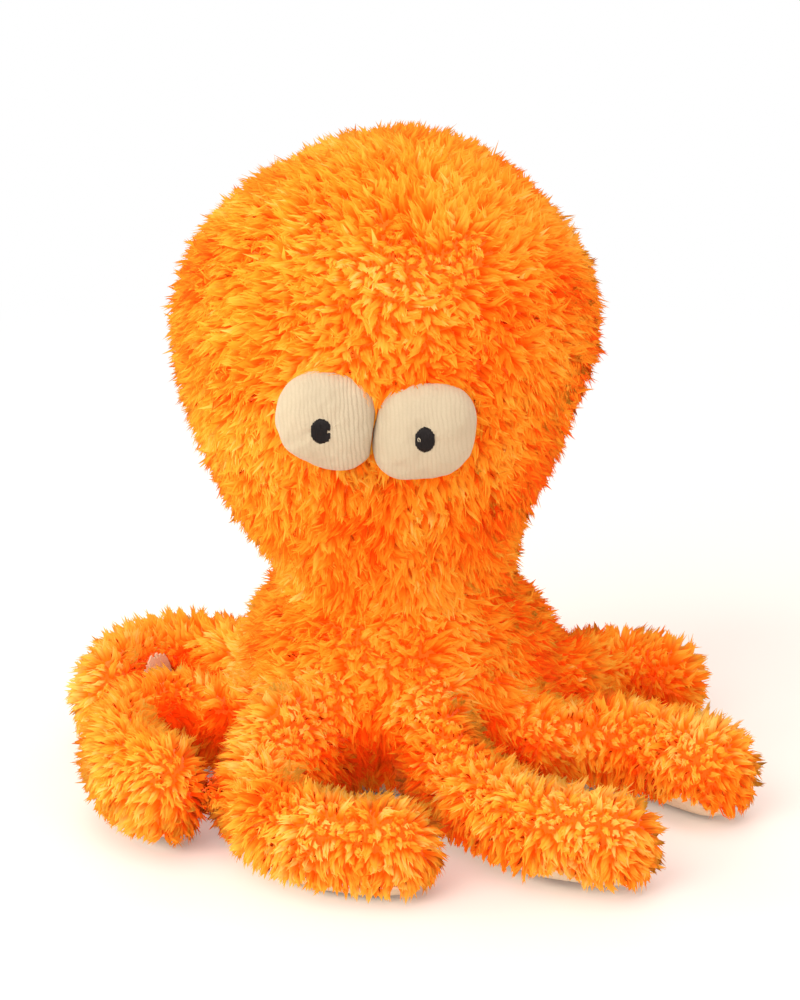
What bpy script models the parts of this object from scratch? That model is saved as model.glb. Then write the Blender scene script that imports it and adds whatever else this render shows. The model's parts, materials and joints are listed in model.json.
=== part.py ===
# Plush octopus: a stuffed head on a soft neck, a skirted body and eight stuffed arms.
# Metres, +Z up. The origin is on the floor, under the middle of the body, and the face looks towards -Y.

import math

import bmesh
import bpy
from mathutils import Matrix, Vector

# Head
HEAD_RADIUS = 0.072  # at its widest
HEAD_LENGTH = 0.1573  # neck seam to crown
HEAD_LEAN = 0.006  # the lower head's shift to the side
HEAD_LEAN_BACK = 0.005  # how much of it the crown takes back
NECK_HEIGHT = 0.068
NECK_RADIUS = 0.0415
NECK_PIVOT_RISE = 0.030  # the nodding axis above the neck seam
FACE_TURN = math.radians(-5)

# Body
HEM_HEIGHT = 0.008  # seam between the pile cover and the base panel
HEM_TUCK = 0.005  # how far the hem draws in under the body's side
BASE_RADIUS = 0.038  # the flat that the body rests on
BODY_SETBACK = 0.001  # the body's side lies this far inside the arms' pivots

# Arms
ARM_RADIUS = 0.0155
ARM_REACH = 0.100  # the length that the arms' paths are drawn in
SHOULDER_SWELL = 0.003  # how much thicker an arm is at its pivot
SHOULDER_LENGTH = 0.012  # over which that swelling fades
ROOT_SPACING = 0.0066  # between the shoulders of neighbouring arms
SOLE_SEAM_HEIGHT = 0.0065
REST_FLAT = 0.0005  # how deep the floor flattens an arm
ARM_RING_TURN = math.radians(-7)

# Fabric and clearances
COVER_WALL = 0.007  # backing and pile of the head and body
ARM_COVER_WALL = 0.005
SOLE_WALL = 0.002  # short-napped fabric of the soles and the base
GAP = 0.0003  # between pieces that touch
OVERRUN = 0.004  # how far a cutter passes what it cuts

# Eyes
EYE_HALF_WIDTH = 0.018
EYE_HALF_HEIGHT = 0.0163
EYE_HALF_DEPTH = 0.0150
EYE_WALL = 0.002  # knit and its backing
EYE_SPACING = 0.032  # centre to centre
EYE_HEIGHT = 0.1439  # of the point between the eyes
EYE_DROP = 0.0044  # the left-hand eye of the picture is higher by this
EYE_SIDE = 0.0028  # the point between the eyes lies this far off the head's axis
EYE_SINK = 0.0025  # of an eye's centre in the head
PUPIL_HALF_WIDTH = 0.0033
PUPIL_HALF_HEIGHT = 0.0042
PUPIL_THICKNESS = 0.0008

# Facet counts
LATHE_SIDES = 20
ARM_SIDES = 12
CORE_SIDES = 8
SOCKET_SIDES = 12
NECK_SOCKET_SIDES = 16
EYE_SIDES = 16

# Radius and height of the head's side, from the crown to just above the neck, as shares of
# HEAD_RADIUS and of HEAD_LENGTH
HEAD_SIDE_SHARES = (
    (0.21, 0.992),
    (0.43, 0.960),
    (0.646, 0.909),
    (0.827, 0.836),
    (0.95, 0.744),
    (1.0, 0.624),
    (0.993, 0.538),
    (0.951, 0.446),
    (0.882, 0.350),
    (0.812, 0.258),
    (0.708, 0.162),
    (0.653, 0.118),
    (0.597, 0.070),
)

# Radius of the body's side between neck and hem, as a share of the way from NECK_RADIUS to
# BODY_RADIUS, and its height as a share of NECK_HEIGHT
BODY_SIDE_SHARES = ((0.45, 0.82), (0.72, 0.66), (0.87, 0.53), (1.0, 0.38), (1.0, 0.24))

# Each arm's centreline after its pivot, outwards and to the left, and its tip's radius as a share
# of ARM_RADIUS
ARM_PATH_SHARES = (
    (((0.28, -0.08), (0.44, 0.08), (0.38, 0.39)), 1.0),
    (((0.21, -0.06), (0.42, 0.12), (0.46, 0.36), (0.37, 0.54)), 1.0),
    (((0.18, -0.03), (0.40, 0.06), (0.49, 0.34), (0.41, 0.565)), 1.0),
    (((0.21, 0.05), (0.52, 0.18), (0.67, 0.40)), 1.0),
    (((0.25, 0.13), (0.62, 0.075)), 1.09),
    (((0.25, 0.16), (0.455, 0.03)), 0.97),
    (((0.25, 0.09), (0.48, 0.13), (0.54, 0.32)), 0.95),
    (((0.25, 0.02), (0.47, 0.00), (0.57, -0.19)), 0.95),
)

ARM_COUNT = len(ARM_PATH_SHARES)
SHOULDER_RADIUS = ARM_RADIUS + SHOULDER_SWELL
RING_RADIUS = (2 * SHOULDER_RADIUS + ROOT_SPACING) / (2 * math.sin(math.pi / ARM_COUNT))
BODY_RADIUS = RING_RADIUS - BODY_SETBACK
PIVOT_HEIGHT = SHOULDER_RADIUS - REST_FLAT
NECK_PIVOT_HEIGHT = NECK_HEIGHT + NECK_PIVOT_RISE
NECK_BALL_RADIUS = math.hypot(NECK_RADIUS, NECK_PIVOT_RISE)

# How far a pupil lies beside and above its eye's centre, as shares of EYE_HALF_WIDTH and
# EYE_HALF_HEIGHT
PUPIL_PLACE_SHARES = {"left": (-0.06, 0.07), "right": (0.01, 0.17)}

PILE_ORANGE = (0.93, 0.33, 0.05)
SOLE_CREAM = (0.86, 0.74, 0.60)
KNIT_CREAM = (0.80, 0.68, 0.50)
THREAD_BLACK = (0.012, 0.012, 0.014)
FIBRE_WHITE = (0.85, 0.84, 0.82)


def new_collection(name):
    collection = bpy.data.collections.new(name)
    bpy.context.scene.collection.children.link(collection)
    return collection


def finish(name, colour, roughness):
    material = bpy.data.materials.new(name)
    material.use_nodes = True
    shader = material.node_tree.nodes["Principled BSDF"]
    shader.inputs["Base Color"].default_value = (*colour, 1)
    shader.inputs["Roughness"].default_value = roughness
    shader.inputs["Metallic"].default_value = 0
    return material


def put(name, mesh, collection, parent=None):
    obj = bpy.data.objects.new(name, mesh)
    collection.objects.link(obj)
    obj.parent = parent
    return obj


def hide(cutter):
    cutter.hide_render = True
    cutter.display_type = "WIRE"
    return cutter


def evaluated_mesh(obj):
    bpy.context.view_layer.update()
    graph = bpy.context.evaluated_depsgraph_get()
    return bpy.data.meshes.new_from_object(obj.evaluated_get(graph))


def smooth_step(share):
    share = min(1, max(0, share))
    return share * share * (3 - 2 * share)


def smooth_line(points, steps):
    """Catmull-Rom points through the given ones."""
    points = [Vector(p) for p in points]
    ends = [2 * points[0] - points[1], *points, 2 * points[-1] - points[-2]]
    line = []
    for a, b, c, d in zip(ends, ends[1:], ends[2:], ends[3:]):
        for step in range(steps):
            t = step / steps
            line.append(
                b
                + (c - a) * (t / 2)
                + (a * 2 - b * 5 + c * 4 - d) * (t * t / 2)
                + (b * 3 - a - c * 3 + d) * (t * t * t / 2)
            )
    line.append(points[-1])
    return line


def inset(profile, walls):
    """The (radius, height) profile moved inwards by each point's wall. It runs down from the crown."""
    moved = []
    for i, (radius, height) in enumerate(profile):
        before = profile[max(i - 1, 0)]
        after = profile[min(i + 1, len(profile) - 1)]
        along = Vector((after[0] - before[0], after[1] - before[1])).normalized()
        moved.append((radius + along.y * walls[i], height - along.x * walls[i]))
    return moved


def lathe(name, profile, collection, lean=False):
    """A turned solid from a profile that runs down from the axis and back to it."""
    outline = bmesh.new()
    corners = [outline.verts.new((radius, 0, height)) for radius, height in profile]
    for a, b in zip(corners, corners[1:]):
        outline.edges.new((a, b))
    mesh = bpy.data.meshes.new(name)
    outline.to_mesh(mesh)
    outline.free()
    turned = put(name, mesh, collection)
    screw = turned.modifiers.new("turn", "SCREW")
    screw.steps = LATHE_SIDES
    screw.render_steps = LATHE_SIDES
    screw.use_merge_vertices = True
    screw.merge_threshold = GAP / 10
    turned.data = evaluated_mesh(turned)
    turned.modifiers.clear()
    if lean:
        for vertex in turned.data.vertices:
            vertex.co.x += head_shift(vertex.co.z)
    return turned


def head_shift(height):
    """How far the stuffed head has settled to the side at a height."""
    share = (height - NECK_HEIGHT) / HEAD_LENGTH
    out = HEAD_LEAN * smooth_step((share - 0.04) / 0.14)
    back = HEAD_LEAN_BACK * smooth_step((share - 0.27) / 0.51)
    return back - out


def head_side():
    """The head's outer profile, crown to neck seam."""
    side = [(r * HEAD_RADIUS, NECK_HEIGHT + h * HEAD_LENGTH) for r, h in HEAD_SIDE_SHARES]
    return [(0, NECK_HEIGHT + HEAD_LENGTH), *side, (NECK_RADIUS, NECK_HEIGHT)]


def neck_ball_bottom(radius, steps=3):
    """The rounded underside of the head, from the neck seam to the axis."""
    widest = math.asin(NECK_RADIUS / NECK_BALL_RADIUS)
    angles = [widest * (steps - step) / steps for step in range(1, steps + 1)]
    return [(radius * math.sin(a), NECK_PIVOT_HEIGHT - radius * math.cos(a)) for a in angles]


def head_profile():
    return [*head_side(), *neck_ball_bottom(NECK_BALL_RADIUS)]


def head_core_profile(wall):
    """Inside of the pile cover. It runs out through the open neck."""
    side = head_side()
    inner = inset(side, [wall] * len(side))
    inner[0] = (0, side[0][1] - wall)
    mouth = inner[-1][0]
    below = NECK_PIVOT_HEIGHT - NECK_BALL_RADIUS - OVERRUN
    return [*inner, (mouth, below), (0, below)]


def grown(profile, by):
    walls = [-by] * len(profile)
    moved = inset(profile, walls)
    moved[0] = (0, profile[0][1] + by)
    moved[-1] = (0, profile[-1][1] - by)
    return moved


def body_side():
    """The body's outer profile, from inside the neck socket down to the hem."""
    top = NECK_HEIGHT + OVERRUN
    flare = BODY_RADIUS - NECK_RADIUS
    side = [(NECK_RADIUS + r * flare, h * NECK_HEIGHT) for r, h in BODY_SIDE_SHARES]
    return [(NECK_RADIUS, top), *side, (BODY_RADIUS - HEM_TUCK, HEM_HEIGHT)]


def body_profile():
    side = body_side()
    return [(0, side[0][1]), *side, (BASE_RADIUS, 0), (0, 0)]


def body_core_profile(easing):
    """Inside of the body's cover and base. A positive easing makes it larger all round."""
    side = body_side()
    inner = inset(side, [COVER_WALL - easing] * len(side))
    top = side[0][1] + OVERRUN
    floor = SOLE_WALL - easing
    edge = inner[-1][0]
    return [(0, top), (inner[0][0], top), *inner[1:-1], (edge, HEM_HEIGHT), (BASE_RADIUS, floor), (0, floor)]


def ball(name, radius, place, collection, sides):
    """A sphere whose flats stay outside the given radius."""
    rings = sides * 3 // 4
    outer = radius / (math.cos(math.pi / sides) * math.cos(math.pi / (2 * rings)))
    shape = bmesh.new()
    bmesh.ops.create_uvsphere(shape, u_segments=sides, v_segments=rings, radius=outer)
    mesh = bpy.data.meshes.new(name)
    shape.to_mesh(mesh)
    shape.free()
    cutter = put(name, mesh, collection)
    cutter.location = place
    return hide(cutter)


def slab(name, low, high, collection):
    """A box between two corners."""
    shape = bmesh.new()
    bmesh.ops.create_cube(shape, size=1)
    size = [b - a for a, b in zip(low, high)]
    bmesh.ops.scale(shape, vec=size, verts=shape.verts)
    middle = [(a + b) / 2 for a, b in zip(low, high)]
    bmesh.ops.translate(shape, vec=middle, verts=shape.verts)
    mesh = bpy.data.meshes.new(name)
    shape.to_mesh(mesh)
    shape.free()
    return hide(put(name, mesh, collection))


def cut(obj, cutter, operation="DIFFERENCE"):
    boolean = obj.modifiers.new(f"{operation.lower()} {cutter.name}", "BOOLEAN")
    boolean.operation = operation
    boolean.solver = "EXACT"
    boolean.object = cutter


def dress(obj, material):
    obj.data.materials.clear()
    obj.data.materials.append(material)
    obj.data.shade_smooth()
    return obj


def arm_line(path_shares, tip_share, wall, base, pitch_share, cap_degrees):
    """Centre points and radii of an arm's tube around its pivot, with a rounded root and tip.

    It lies wall inside the arm's surface, with its underside at the height base. Its rings are
    about pitch_share of ARM_RADIUS apart, and those of its ends lie at cap_degrees."""
    drawn = [(0, 0)] + [(out * ARM_REACH, left * ARM_REACH) for out, left in path_shares]
    fine = smooth_line(drawn, 12)
    lengths = [0]
    for a, b in zip(fine, fine[1:]):
        lengths.append(lengths[-1] + (b - a).length)
    total = lengths[-1]
    count = max(4, round(total / (ARM_RADIUS * pitch_share)))

    def radius_at(length):
        swell = SHOULDER_SWELL * max(0, 1 - length / SHOULDER_LENGTH) ** 2
        taper = 1 + (tip_share - 1) * length / total
        return ARM_RADIUS * taper + swell - wall

    def height_of(radius):
        return base + radius - PIVOT_HEIGHT

    line = []
    cap_angles = [math.radians(a) for a in cap_degrees]
    start = (fine[1] - fine[0]).normalized()
    first = radius_at(0)
    for a in cap_angles:
        at = fine[0] - start * (first * math.sin(a))
        line.append((at.x, at.y, height_of(first), first * math.cos(a)))
    for step in range(count + 1):
        length = total * step / count
        i = max(k for k, reached in enumerate(lengths) if reached <= length + GAP)
        i = min(i, len(fine) - 2)
        share = (length - lengths[i]) / (lengths[i + 1] - lengths[i])
        at = fine[i].lerp(fine[i + 1], share)
        radius = radius_at(length)
        line.append((at.x, at.y, height_of(radius), radius))
    end = (fine[-1] - fine[-2]).normalized()
    last = radius_at(total)
    for a in reversed(cap_angles):
        at = fine[-1] + end * (last * math.sin(a))
        line.append((at.x, at.y, height_of(last), last * math.cos(a)))
    return line


def tube(name, line, sides, collection, parent):
    """A closed mesh tube along (x, y, z, radius) points."""
    curve = bpy.data.curves.new(name, "CURVE")
    curve.dimensions = "3D"
    curve.twist_mode = "Z_UP"
    curve.bevel_depth = ARM_RADIUS
    curve.bevel_resolution = sides // 2 - 2
    curve.use_fill_caps = True
    spline = curve.splines.new("POLY")
    spline.points.add(len(line) - 1)
    for point, (x, y, z, radius) in zip(spline.points, line):
        point.co = (x, y, z, 1)
        point.radius = radius / ARM_RADIUS
    drawn = put(name, curve, collection)
    mesh = evaluated_mesh(drawn)
    bpy.data.objects.remove(drawn)
    shape = bmesh.new()
    shape.from_mesh(mesh)
    bmesh.ops.remove_doubles(shape, verts=shape.verts, dist=GAP / 10)
    bmesh.ops.recalc_face_normals(shape, faces=shape.faces)
    shape.to_mesh(mesh)
    shape.free()
    return put(name, mesh, collection, parent)


def make_neck(cutters):
    pivot = put("neck_pivot", None, parts)
    pivot.location = (0, 0, NECK_PIVOT_HEIGHT)
    socket = ball("neck_socket", NECK_BALL_RADIUS + GAP, pivot.location, cutters, NECK_SOCKET_SIDES)
    # The polar axis lies along the nodding axis.
    socket.rotation_euler = (0, math.pi / 2, 0)
    return socket, pivot


def hang(obj, pivot):
    """Moves a piece's origin to its pivot and leaves its shape where it is."""
    obj.data.transform(Matrix.Translation(-pivot.location))
    obj.parent = pivot


def make_head(pivot, cutters):
    core = hide(lathe("head_core_cutter", head_core_profile(COVER_WALL - GAP), cutters, lean=True))
    size = 2 * HEAD_LENGTH + 2 * HEAD_RADIUS
    axis = head_shift(EYE_HEIGHT)
    for front_back, y_sign in (("front", -1), ("back", 1)):
        for side, x_sign in (("left", -1), ("right", 1)):
            quarter = slab(
                f"{front_back}_{side}_quarter",
                (GAP / 2, GAP / 2, 0),
                (HEAD_LENGTH, HEAD_LENGTH, size),
                cutters,
            )
            quarter.data.transform(Matrix.Diagonal((x_sign, y_sign, 1, 1)))
            if x_sign * y_sign < 0:
                quarter.data.flip_normals()
            quarter.location = (axis, 0, 0)
            quarter.rotation_euler = (0, 0, FACE_TURN)
            gore = lathe(f"head_gore_{front_back}_{side}", head_profile(), parts, lean=True)
            hang(gore, pivot)
            cut(gore, quarter, "INTERSECT")
            cut(gore, core)
            dress(gore, finish(f"pile_{front_back}_{side}", PILE_ORANGE, 0.95))
    stuffing = lathe("head_stuffing", head_profile(), parts, lean=True)
    hang(stuffing, pivot)
    inside = hide(lathe("head_stuffing_form", head_core_profile(COVER_WALL), cutters, lean=True))
    cut(stuffing, inside, "INTERSECT")
    dress(stuffing, finish("head_fibre", FIBRE_WHITE, 0.9))


def ellipsoid(name, half_sizes, place, collection, parent=None):
    shape = bmesh.new()
    bmesh.ops.create_uvsphere(shape, u_segments=EYE_SIDES, v_segments=EYE_SIDES * 3 // 5, radius=1)
    bmesh.ops.scale(shape, vec=half_sizes, verts=shape.verts)
    mesh = bpy.data.meshes.new(name)
    shape.to_mesh(mesh)
    shape.free()
    made = put(name, mesh, collection)
    made.location = place
    if parent:
        made.parent = parent
        made.location = Vector(place) - parent.location
    return made


def head_radius_at(height):
    """The head's outer radius at a height between the neck and its widest."""
    side = head_side()
    for (r_top, z_top), (r_low, z_low) in zip(side, side[1:]):
        if z_low <= height <= z_top:
            return r_low + (r_top - r_low) * (height - z_low) / (z_top - z_low)
    return HEAD_RADIUS


def eye_press(name, sign, tilt, inwards, place, cutters):
    """Cuts an eye off at the plane between the two, moved towards this eye by a distance."""
    reach = 2 * EYE_HALF_WIDTH
    press = slab(name, (-inwards, -reach, -reach), (reach, reach, reach), cutters)
    press.location = place
    press.rotation_euler = (0, tilt, 0) if sign < 0 else (0, tilt + math.pi, 0)
    return press


def make_eyes(pivot, cutters):
    face = hide(lathe("head_form_with_gap", grown(head_profile(), GAP), cutters, lean=True))
    middle = head_shift(EYE_HEIGHT) - EYE_SIDE
    half_sizes = Vector((EYE_HALF_WIDTH, EYE_HALF_DEPTH, EYE_HALF_HEIGHT))
    tilt = math.atan2(EYE_DROP, EYE_SPACING)
    for side, sign in (("left", -1), ("right", 1)):
        height = EYE_HEIGHT - sign * EYE_DROP / 2
        across = sign * EYE_SPACING / 2
        from_axis = middle + across - head_shift(height)
        depth = math.sqrt(head_radius_at(height) ** 2 - from_axis**2) - EYE_SINK
        place = Vector((middle + across, -depth, height))
        between = (middle, -depth, EYE_HEIGHT)

        hollow_sizes = half_sizes - Vector.Fill(3, EYE_WALL - GAP)
        hollow = hide(ellipsoid(f"{side}_eye_hollow", hollow_sizes, place, cutters))
        cut(hollow, eye_press(f"{side}_hollow_press", sign, tilt, EYE_WALL - GAP, between, cutters))
        cover = ellipsoid(f"eye_{side}_cover", half_sizes, place, parts, pivot)
        cut(cover, hollow)
        cut(cover, face)
        cut(cover, eye_press(f"{side}_eye_press", sign, tilt, GAP / 2, between, cutters))
        dress(cover, finish(f"knit_{side}", KNIT_CREAM, 0.9))

        inner_sizes = half_sizes - Vector.Fill(3, EYE_WALL)
        stuffing = ellipsoid(f"eye_{side}_stuffing", inner_sizes, place, parts, pivot)
        cut(stuffing, face)
        cut(stuffing, eye_press(f"{side}_stuffing_press", sign, tilt, EYE_WALL, between, cutters))
        dress(stuffing, finish(f"eye_fibre_{side}", FIBRE_WHITE, 0.9))
        make_pupil(side, place, half_sizes, pivot, cutters)


def make_pupil(side, place, half_sizes, pivot, cutters):
    """An oval of thread laid over the front of an eye."""
    seat = hide(ellipsoid(f"{side}_pupil_seat", half_sizes + Vector.Fill(3, GAP), place, cutters))
    beside, above = PUPIL_PLACE_SHARES[side]
    centre = place + Vector((beside * EYE_HALF_WIDTH, -EYE_HALF_DEPTH, above * EYE_HALF_HEIGHT))
    half_oval = (PUPIL_HALF_WIDTH, EYE_HALF_DEPTH / 2, PUPIL_HALF_HEIGHT)
    outline = ellipsoid(f"eye_{side}_pupil", half_oval, centre, parts, pivot)
    front_sizes = half_sizes + Vector.Fill(3, GAP + PUPIL_THICKNESS)
    front = hide(ellipsoid(f"{side}_pupil_front", front_sizes, place, cutters))
    cut(outline, front, "INTERSECT")
    cut(outline, seat)
    dress(outline, finish(f"thread_{side}", THREAD_BLACK, 0.5))


def arm_angle(index):
    """The arms go round from the back of the picture's left-hand side, over the front."""
    return math.pi + ARM_RING_TURN + (index - 0.5) * 2 * math.pi / ARM_COUNT


def make_arm(index, path_shares, tip_share, cutters):
    """Returns the cutter that seats the arm in the body."""
    number = index + 1
    angle = arm_angle(index)
    pivot = put(f"arm_{number}_pivot", None, parts)
    pivot.location = (RING_RADIUS * math.cos(angle), RING_RADIUS * math.sin(angle), PIVOT_HEIGHT)
    pivot.rotation_euler = (0, 0, angle)
    outer = arm_line(path_shares, tip_share, 0, -REST_FLAT, 0.8, (76, 51, 25))
    inner = arm_line(path_shares, tip_share, ARM_COVER_WALL, SOLE_WALL, 1.2, (66, 33))
    eased = [(x, y, z, radius + GAP) for x, y, z, radius in inner]
    hollow = hide(tube(f"arm_{number}_hollow", eased, CORE_SIDES, cutters, pivot))

    cover = tube(f"arm_{number}_cover", outer, ARM_SIDES, parts, pivot)
    cut(cover, hollow)
    cut(cover, bpy.data.objects["below_sole_seam"])
    dress(cover, finish(f"arm_{number}_pile", PILE_ORANGE, 0.95))

    sole = tube(f"arm_{number}_sole", outer, ARM_SIDES, parts, pivot)
    cut(sole, hollow)
    cut(sole, bpy.data.objects["above_sole_seam"])
    cut(sole, bpy.data.objects["under_floor"])
    dress(sole, finish(f"arm_{number}_sole", SOLE_CREAM, 0.85))

    stuffing = tube(f"arm_{number}_stuffing", inner, CORE_SIDES, parts, pivot)
    dress(stuffing, finish(f"arm_{number}_fibre", FIBRE_WHITE, 0.9))

    socket = ball(f"arm_{number}_socket", SHOULDER_RADIUS + GAP, pivot.location, cutters, SOCKET_SIDES)
    # The polar axis lies along the arm's lifting axis.
    socket.rotation_euler = (math.pi / 2, 0, angle)
    return socket


def make_floor_cutters(cutters):
    wide = RING_RADIUS + 2 * ARM_REACH
    tall = 2 * SHOULDER_RADIUS + OVERRUN
    seam = SOLE_SEAM_HEIGHT
    slab("below_sole_seam", (-wide, -wide, -OVERRUN), (wide, wide, seam + GAP / 2), cutters)
    slab("above_sole_seam", (-wide, -wide, seam - GAP / 2), (wide, wide, tall), cutters)
    slab("under_floor", (-wide, -wide, -OVERRUN), (wide, wide, 0), cutters)


def make_body(neck_socket, arm_sockets, cutters):
    wide = BODY_RADIUS + OVERRUN
    hollow = hide(lathe("body_hollow", body_core_profile(GAP), cutters))
    above = slab(
        "above_hem",
        (-wide, -wide, HEM_HEIGHT - GAP / 2),
        (wide, wide, NECK_HEIGHT + 3 * OVERRUN),
        cutters,
    )
    below = slab("below_hem", (-wide, -wide, -OVERRUN), (wide, wide, HEM_HEIGHT + GAP / 2), cutters)

    cover = lathe("body_cover", body_profile(), parts)
    cut(cover, hollow)
    cut(cover, below)
    cut(cover, neck_socket)
    dress(cover, finish("body_pile", PILE_ORANGE, 0.95))

    base = lathe("base_panel", body_profile(), parts)
    cut(base, hollow)
    cut(base, above)
    dress(base, finish("base_cream", SOLE_CREAM, 0.85))

    stuffing = lathe("body_stuffing", body_core_profile(0), parts)
    cut(stuffing, neck_socket)
    dress(stuffing, finish("body_fibre", FIBRE_WHITE, 0.9))

    for socket in arm_sockets:
        cut(cover, socket)
        cut(base, socket)
        cut(stuffing, socket)


for old in list(bpy.data.objects):
    bpy.data.objects.remove(old)

parts = new_collection("plush_octopus")
cutter_collection = new_collection("cutters")

make_floor_cutters(cutter_collection)
neck_socket, neck_pivot = make_neck(cutter_collection)
make_head(neck_pivot, cutter_collection)
make_eyes(neck_pivot, cutter_collection)
sockets = [
    make_arm(index, path, tip, cutter_collection)
    for index, (path, tip) in enumerate(ARM_PATH_SHARES)
]
make_body(neck_socket, sockets, cutter_collection)
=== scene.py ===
import json
import math

import bmesh
import bpy
import numpy as np
from mathutils import Matrix, Vector
from mathutils.bvhtree import BVHTree
from mathutils.kdtree import KDTree

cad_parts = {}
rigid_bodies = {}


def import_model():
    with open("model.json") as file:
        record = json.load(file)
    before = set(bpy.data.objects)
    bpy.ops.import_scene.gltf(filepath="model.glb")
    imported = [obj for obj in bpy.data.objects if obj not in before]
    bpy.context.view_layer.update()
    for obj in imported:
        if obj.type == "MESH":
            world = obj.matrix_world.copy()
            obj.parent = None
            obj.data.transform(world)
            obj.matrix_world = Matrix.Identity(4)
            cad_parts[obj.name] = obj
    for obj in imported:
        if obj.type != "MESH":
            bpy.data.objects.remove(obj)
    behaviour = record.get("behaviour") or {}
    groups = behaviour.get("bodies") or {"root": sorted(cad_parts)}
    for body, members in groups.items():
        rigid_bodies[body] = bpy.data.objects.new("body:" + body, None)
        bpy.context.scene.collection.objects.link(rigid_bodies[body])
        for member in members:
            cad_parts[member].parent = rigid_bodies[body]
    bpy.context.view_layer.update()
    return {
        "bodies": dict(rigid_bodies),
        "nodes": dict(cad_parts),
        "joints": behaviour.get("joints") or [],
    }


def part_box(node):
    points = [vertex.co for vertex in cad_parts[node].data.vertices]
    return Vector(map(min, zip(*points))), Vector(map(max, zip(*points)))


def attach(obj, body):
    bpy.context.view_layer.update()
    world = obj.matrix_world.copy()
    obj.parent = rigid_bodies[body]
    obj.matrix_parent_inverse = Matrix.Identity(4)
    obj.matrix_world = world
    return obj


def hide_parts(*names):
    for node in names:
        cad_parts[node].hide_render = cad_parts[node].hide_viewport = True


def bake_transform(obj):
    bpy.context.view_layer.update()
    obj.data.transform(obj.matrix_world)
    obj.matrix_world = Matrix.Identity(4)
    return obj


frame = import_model()
joints = {joint["name"]: joint for joint in frame["joints"]}
collection = bpy.context.scene.collection

def newPiece(name, mesh):
    piece = bpy.data.objects.new(name, mesh)
    collection.objects.link(piece)
    return piece


def meshOf(bm, name):
    mesh = bpy.data.meshes.new(name)
    bm.to_mesh(mesh)
    bm.free()
    return mesh


def finished(piece):
    # the mesh with its modifiers applied
    graph = bpy.context.evaluated_depsgraph_get()
    mesh = bpy.data.meshes.new_from_object(piece.evaluated_get(graph), depsgraph=graph)
    old = piece.data
    piece.modifiers.clear()
    piece.data = mesh
    bpy.data.meshes.remove(old)
    return piece


def smoothStep(share):
    share = np.clip(share, 0, 1)
    return share * share * (3 - 2 * share)


def between(value, low, high):
    # 0 at low and below, 1 at high and above
    return smoothStep((value - low) / (high - low))


def unit(vectors):
    return vectors / np.maximum(np.linalg.norm(vectors, axis=1, keepdims=True), 1e-12)


def flatTo(vectors, normals):
    return vectors - normals * np.sum(vectors * normals, axis=1, keepdims=True)


def ripple(points, size, seed, waves=14):
    # a smooth random field: a sum of sine waves of about this size, from about -1 to 1
    random = np.random.default_rng(seed)
    directions = unit(random.normal(size=(waves, 3)))
    lengths = size * random.uniform(0.7, 1.6, waves)
    turns = random.uniform(0, 2 * math.pi, waves)
    phase = points @ (directions * (2 * math.pi / lengths)[:, None]).T + turns
    return np.sin(phase).sum(axis=1) / math.sqrt(waves / 2) * 0.6


def smoothed(bm, verts, rounds):
    for _ in range(rounds):
        bmesh.ops.smooth_vert(
            bm, verts=verts, factor=0.5, use_axis_x=True, use_axis_y=True, use_axis_z=True,
        )


def treeOf(points):
    tree = KDTree(len(points))
    for k, spot in enumerate(points):
        tree.insert(spot, k)
    tree.balance()
    return tree


class Sum:
    # wraps a socket, so that shader maths reads as it is written
    def __init__(self, nodes, socket):
        self.nodes, self.socket = nodes, socket

    def __add__(self, other):
        return self.nodes.math("ADD", self, other)

    def __radd__(self, other):
        return self.nodes.math("ADD", other, self)

    def __sub__(self, other):
        return self.nodes.math("SUBTRACT", self, other)

    def __rsub__(self, other):
        return self.nodes.math("SUBTRACT", other, self)

    def __mul__(self, other):
        return self.nodes.math("MULTIPLY", self, other)

    def __rmul__(self, other):
        return self.nodes.math("MULTIPLY", other, self)

    def __truediv__(self, other):
        return self.nodes.math("DIVIDE", self, other)

    def __rtruediv__(self, other):
        return self.nodes.math("DIVIDE", other, self)

    def __pow__(self, other):
        return self.nodes.math("POWER", self, other)

    def __rpow__(self, other):
        return self.nodes.math("POWER", other, self)


class Nodes:
    def __init__(self, tree):
        self.tree = tree

    def node(self, kind, settings=None, inputs=None):
        # settings first, then values or links; gives the sockets that come out
        made = self.tree.nodes.new(kind)
        for key, value in (settings or {}).items():
            if key == "stops":
                ramp = made.color_ramp
                while len(ramp.elements) < len(value):
                    ramp.elements.new(0.5)
                for element, (place, colour) in zip(ramp.elements, value):
                    element.position = place
                    element.color = (*colour, 1)
            else:
                setattr(made, key, value)
        for key, value in (inputs or {}).items():
            self.link(value, made.inputs[key])
        return [Sum(self, socket) for socket in made.outputs if socket.enabled]

    def link(self, value, socket):
        if isinstance(value, Sum):
            self.tree.links.new(value.socket, socket)
        else:
            socket.default_value = value

    def math(self, operation, *values):
        return self.node("ShaderNodeMath", {"operation": operation}, dict(enumerate(values)))[0]

    def limited(self, value):
        return self.math("MINIMUM", self.math("MAXIMUM", value, 0.0), 1.0)

    def mixed(self, share, first, second):
        # between two colours
        return self.node("ShaderNodeMix", {"data_type": "RGBA"}, {0: share, 6: first, 7: second})[0]

    def noise(self, place, scale, detail):
        return self.node("ShaderNodeTexNoise", {}, {"Vector": place, "Scale": scale, "Detail": detail})[0]

    def bump(self, height, depth, strength=1.0):
        return self.node("ShaderNodeBump", {}, {"Strength": strength, "Distance": depth, "Height": height})[0]

    def seenPlain(self):
        # 1 for what the camera, reflections and glass see, 0 for all other light
        paths = self.node("ShaderNodeLightPath")
        return self.math("MINIMUM", paths[0] + paths[3] + paths[6], 1.0)


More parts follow.
